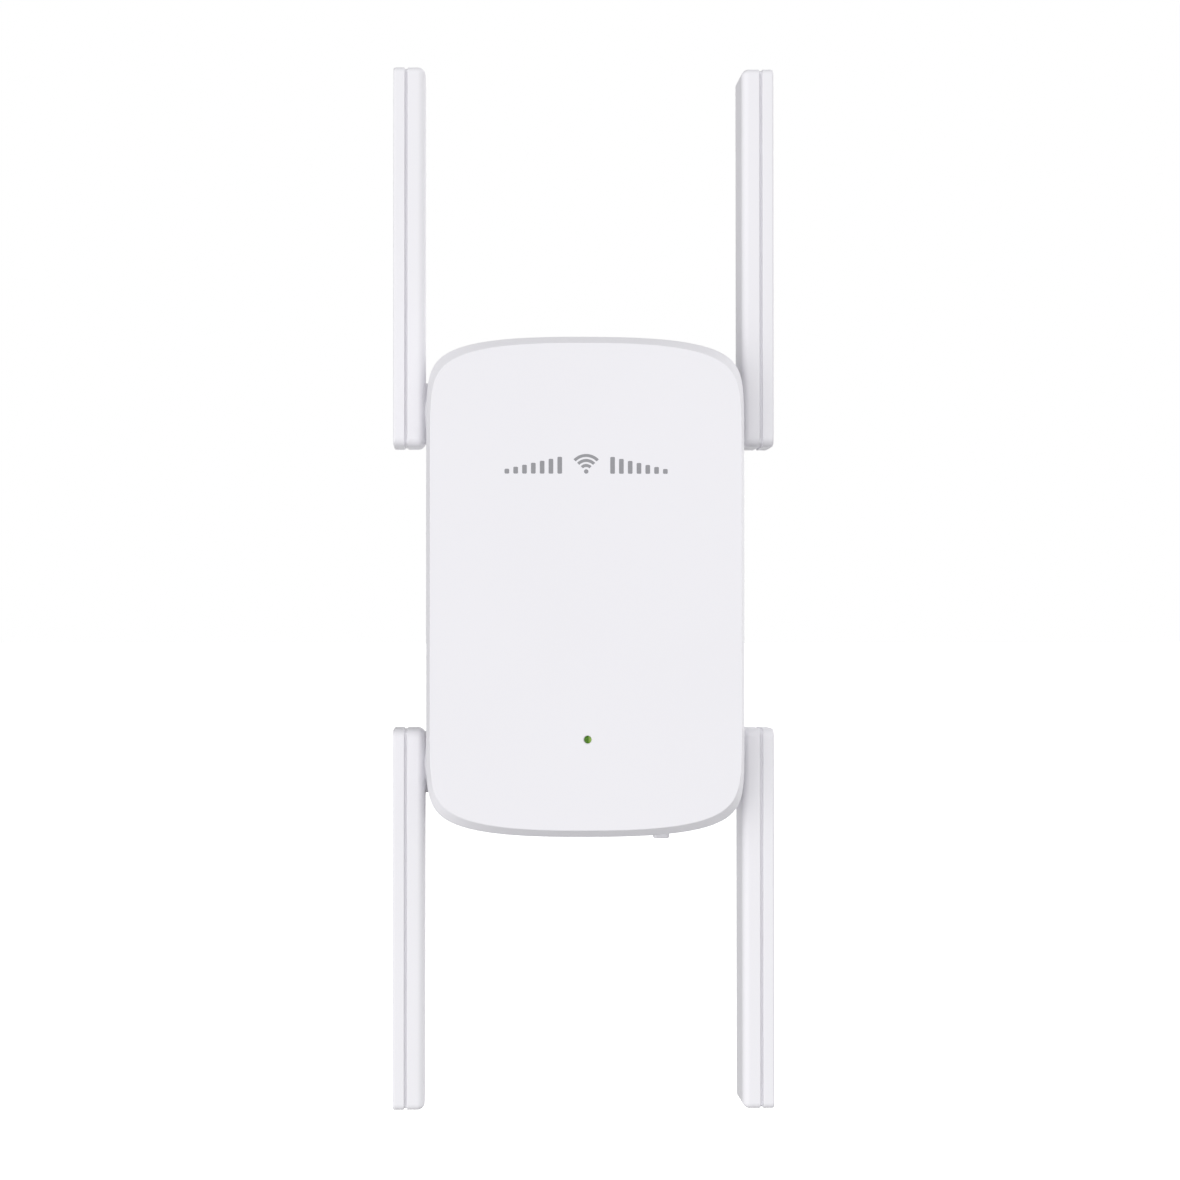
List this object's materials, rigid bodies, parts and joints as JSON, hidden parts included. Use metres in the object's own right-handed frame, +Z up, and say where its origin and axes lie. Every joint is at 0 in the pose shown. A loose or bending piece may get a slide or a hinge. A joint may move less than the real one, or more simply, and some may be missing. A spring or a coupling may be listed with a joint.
{
  "type": "wifi range extender",
  "caption": "Plug-in wifi range extender: a slim white rounded box with a mains plug behind, hinged paddle antennas at its sides, a push button and a network port below.",
  "frame": {"origin": "middle of the plug's engagement face, between the two pins", "axes": "+Z up, +Y towards the wall along the pins, -Y out of the front cover, +X to the right as seen from the front"},
  "size_m": [0.0968, 0.073, 0.2644],
  "materials": {
    "cover_white": "fine satin, very slightly cool white",
    "housing_white": "fine spark-eroded texture",
    "antenna_white": "satin",
    "button_white": "satin",
    "pin_metal": "nickel plate with light draw marks",
    "sleeve_black": "smooth",
    "light_pipe": "clear moulding, tinted by the light",
    "led": "clear resin in a white cup",
    "board": "solder mask over glass cloth",
    "screw_steel": "zinc plate",
    "shield_metal": "tinned sheet",
    "black_moulding": "fine grain",
    "gold_contacts": "gold flash",
    "chip_black": "fine moulding compound",
    "heat_sink": "sand-blasted",
    "plunger": "smooth",
    "coax_jacket": "extruded",
    "fuse_brown": "smooth",
    "disc_blue": "dipped epoxy",
    "can_sleeve": "shrunk sleeve",
    "copper_winding": "enamelled wire",
    "winding_tape": "polyester tape",
    "ferrite": "ground ceramic, dull",
    "coupler_white": "moulding compound",
    "clip_steel": "spring steel",
    "ring_grey": "smooth"
  },
  "bodies": {
    "body": {"front_cover": "cover_white", "rear_housing": "housing_white", "plug_base": "housing_white", "plug_pins": "pin_metal", "pin_sleeves": "sleeve_black", "light_pipe": "light_pipe", "status_led": "led", "main_board": "board", "power_board": "board", "board_screws": "screw_steel", "ethernet_jack": "shield_metal", "radio_shields": "shield_metal", "jack_insert": "black_moulding", "board_header": "black_moulding", "tact_switch": "black_moulding", "jack_contacts": "gold_contacts", "header_pins": "gold_contacts", "coax_plugs": "gold_contacts", "lan_transformer": "chip_black", "wifi_processor": "chip_black", "memory_chip": "chip_black", "bridge_rectifier": "chip_black", "power_controller": "chip_black", "heat_sink": "heat_sink", "coax_tails": "coax_jacket", "mains_fuse": "fuse_brown", "surge_absorber": "disc_blue", "safety_capacitor": "disc_blue", "input_capacitors": "can_sleeve", "output_capacitor": "can_sleeve", "mains_choke": "copper_winding", "transformer_winding": "winding_tape", "transformer_core": "ferrite", "optocoupler": "coupler_white"},
    "button": {"button_cap": "button_white"},
    "plunger": {"switch_plunger": "plunger"},
    "upper_left_antenna": {"upper_left_outer_shell": "antenna_white", "upper_left_inner_shell": "antenna_white", "upper_left_radiator": "board", "upper_left_cable": "coax_jacket", "upper_left_clip": "clip_steel", "upper_left_friction_ring": "ring_grey"},
    "upper_right_antenna": {"upper_right_outer_shell": "antenna_white", "upper_right_inner_shell": "antenna_white", "upper_right_radiator": "board", "upper_right_cable": "coax_jacket", "upper_right_clip": "clip_steel", "upper_right_friction_ring": "ring_grey"},
    "lower_left_antenna": {"lower_left_outer_shell": "antenna_white", "lower_left_inner_shell": "antenna_white", "lower_left_radiator": "board", "lower_left_cable": "coax_jacket", "lower_left_clip": "clip_steel", "lower_left_friction_ring": "ring_grey"},
    "lower_right_antenna": {"lower_right_outer_shell": "antenna_white", "lower_right_inner_shell": "antenna_white", "lower_right_radiator": "board", "lower_right_cable": "coax_jacket", "lower_right_clip": "clip_steel", "lower_right_friction_ring": "ring_grey"}
  },
  "joints": [
    {"name": "upper_left_hinge", "type": "hinge", "parent": "body", "child": "upper_left_antenna", "pos_m": [-0.0386, -0.033, 0.0445], "axis": [1, 0, 0], "range_deg": [0, 90]},
    {"name": "upper_right_hinge", "type": "hinge", "parent": "body", "child": "upper_right_antenna", "pos_m": [0.0386, -0.033, 0.0445], "axis": [1, 0, 0], "range_deg": [0, 90]},
    {"name": "lower_left_hinge", "type": "hinge", "parent": "body", "child": "lower_left_antenna", "pos_m": [-0.0386, -0.033, -0.0445], "axis": [-1, 0, 0], "range_deg": [0, 90]},
    {"name": "lower_right_hinge", "type": "hinge", "parent": "body", "child": "lower_right_antenna", "pos_m": [0.0386, -0.033, -0.0445], "axis": [-1, 0, 0], "range_deg": [0, 90]},
    {"name": "button_press", "type": "slide", "parent": "body", "child": "button", "axis": [0, 0, 1], "range_m": [0, 0.0004], "stiffness_N_per_m": 15},
    {"name": "switch_travel", "type": "slide", "parent": "body", "child": "plunger", "axis": [0, 0, 1], "range_m": [0, 0.0004]}
  ],
  "couplings": [
    {"joint": "switch_travel", "follows": "button_press", "ratio": 1}
  ]
}
